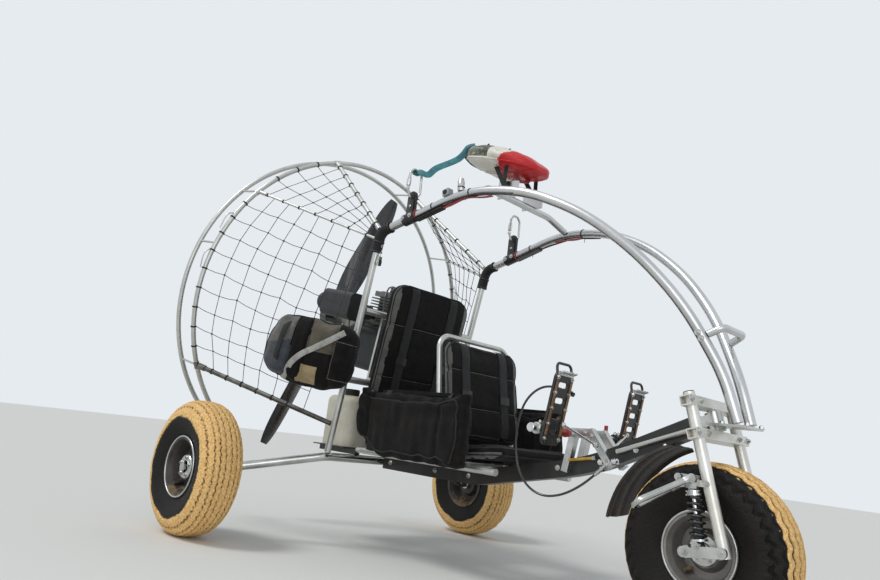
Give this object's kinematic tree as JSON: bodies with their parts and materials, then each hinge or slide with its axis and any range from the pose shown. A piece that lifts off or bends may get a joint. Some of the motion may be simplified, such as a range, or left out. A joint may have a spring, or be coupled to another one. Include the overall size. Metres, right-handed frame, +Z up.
{
  "type": "two-seat paramotor trike",
  "caption": "Open tubular three-wheeled paramotor with twin overhead arcs, ringed propeller cage, side nets, sprung front fork and soft stowage.",
  "frame": {"origin": "on the ground, under the middle of the bounding box", "axes": "+Z up, -Y towards the nose, +X to the vehicle's left"},
  "size_m": [1.5278, 2.1721, 1.5696],
  "materials": {
    "tyre": "ribbed rubber, ochre mud on the tread",
    "rim": "cast, dusty grey",
    "steel_tube": "brushed, dull",
    "polished_tube": "brushed bright tube",
    "fork_paint": "worn pale paint",
    "dark_metal": "black paint, worn",
    "plated": "zinc plated",
    "spring": "black coil spring",
    "guard": "black sheet, dusty",
    "foam": "closed-cell foam",
    "carabiner": "polished steel",
    "container_fabric": "cream nylon with a red end",
    "net_cord": "dark braided cord",
    "engine_metal": "cast aluminium alloy, blackened",
    "engine_black": "black moulded plastic",
    "exhaust": "heat-stained steel",
    "blade": "black composite",
    "tank": "translucent white plastic",
    "cushion": "black coated nylon",
    "pannier": "black and brown coated nylon",
    "bag": "grey and black nylon with a tan panel",
    "pedal": "black anodised plate",
    "cable": "black cable sleeve"
  },
  "bodies": {
    "frame": {"rear_axle": "steel_tube", "keel": "dark_metal", "steering_head": "fork_paint", "head_braces": "steel_tube", "mudguard": "guard", "arc_right": "polished_tube", "arc_left": "polished_tube", "arc_link": "polished_tube", "corner_pads": "foam", "rear_legs": "polished_tube", "hang_brackets": "dark_metal", "carabiners": "carabiner", "hang_rails": "dark_metal", "container": "container_fabric", "cross_tube": "dark_metal", "cage_hoops": "polished_tube", "cage_ends": "polished_tube", "cage_struts": "polished_tube", "low_struts": "dark_metal", "net_right": "net_cord", "net_left": "net_cord", "engine_carrier": "dark_metal", "crankcase": "engine_metal", "cylinder": "engine_metal", "reduction_housing": "engine_metal", "intake": "engine_black", "exhaust": "exhaust", "tank_tray": "dark_metal", "fuel_tank": "tank", "seat_frame": "dark_metal", "rear_seat": "cushion", "front_seat": "cushion", "rear_seat_back": "cushion", "front_seat_back": "cushion", "side_panniers": "pannier", "stowage_bag": "bag", "pedal_bracket": "steel_tube", "pedals": "pedal", "pedal_cable": "cable"},
    "fork": {"fork": "fork_paint", "suspension_links": "plated", "front_axle": "plated", "shocks": "spring", "foot_loops": "fork_paint"},
    "front_wheel": {"front_tyre": "tyre", "front_rim": "rim"},
    "rear_wheel_right": {"rear_right_tyre": "tyre", "rear_right_rim": "rim"},
    "rear_wheel_left": {"rear_left_tyre": "tyre", "rear_left_rim": "rim"},
    "propeller": {"propeller": "blade"}
  },
  "joints": [
    {"name": "steering", "type": "hinge", "parent": "frame", "child": "fork", "pos_m": [0, -0.86325, 0.544], "axis": [0, 0.2807, 0.9598], "range_deg": [-28, 28]},
    {"name": "front_wheel_spin", "type": "hinge", "parent": "fork", "child": "front_wheel", "pos_m": [0, -0.86325, 0.2225], "axis": [1, 0, 0], "continuous": true},
    {"name": "rear_wheel_right_spin", "type": "hinge", "parent": "frame", "child": "rear_wheel_right", "pos_m": [-0.69, 0.59175, 0.22], "axis": [1, 0, 0], "continuous": true},
    {"name": "rear_wheel_left_spin", "type": "hinge", "parent": "frame", "child": "rear_wheel_left", "pos_m": [0.69, 0.59175, 0.22], "axis": [1, 0, 0], "continuous": true},
    {"name": "propeller_spin", "type": "hinge", "parent": "frame", "child": "propeller", "pos_m": [0, 0.9177, 0.88461], "axis": [0, 0.9863, 0.165], "continuous": true}
  ]
}
